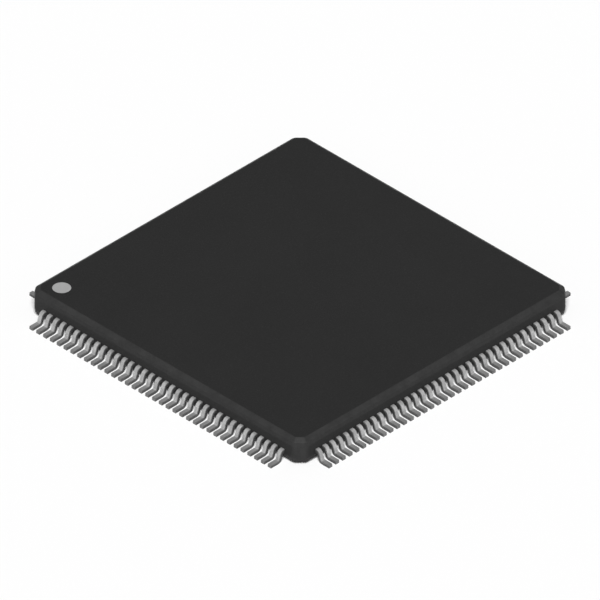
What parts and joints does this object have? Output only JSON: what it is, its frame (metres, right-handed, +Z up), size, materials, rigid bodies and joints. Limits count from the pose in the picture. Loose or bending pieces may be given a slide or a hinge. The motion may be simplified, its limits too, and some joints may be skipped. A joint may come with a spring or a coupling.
{
  "type": "quad flat pack chip",
  "caption": "Square moulded chip body with bevelled edges, cut corners, a round mark at one corner and gull-wing leads along all four sides.",
  "frame": {"origin": "centre of the footprint, on the board under the feet of the leads", "axes": "+Z up out of the board, -X and -Y towards the two sides that the picture shows, and the round mark at the corner of -X and +Y"},
  "size_m": [0.022, 0.022, 0.0016],
  "materials": {
    "mould_compound": "fine matte moulded epoxy",
    "mark_ink": "flat pale grey ink",
    "silicon": "polished silicon",
    "die_adhesive": "silver-filled epoxy",
    "frame_copper": "bare copper alloy sheet",
    "lock_tape": "amber polyimide film",
    "plated_lead": "matte tin plate on copper alloy",
    "wire_gold": "drawn gold wire"
  },
  "bodies": {
    "root": {"body": "mould_compound", "pin_1_mark": "mark_ink", "die": "silicon", "die_attach": "die_adhesive", "die_pad": "frame_copper", "lead_tape": "lock_tape", "leads_left_1": "plated_lead", "leads_left_2": "plated_lead", "leads_left_3": "plated_lead", "leads_left_4": "plated_lead", "leads_front_1": "plated_lead", "leads_front_2": "plated_lead", "leads_front_3": "plated_lead", "leads_front_4": "plated_lead", "leads_right_1": "plated_lead", "leads_right_2": "plated_lead", "leads_right_3": "plated_lead", "leads_right_4": "plated_lead", "leads_back_1": "plated_lead", "leads_back_2": "plated_lead", "leads_back_3": "plated_lead", "leads_back_4": "plated_lead", "bond_wires_left": "wire_gold", "bond_wires_front": "wire_gold", "bond_wires_right": "wire_gold", "bond_wires_back": "wire_gold"}
  },
  "joints": []
}
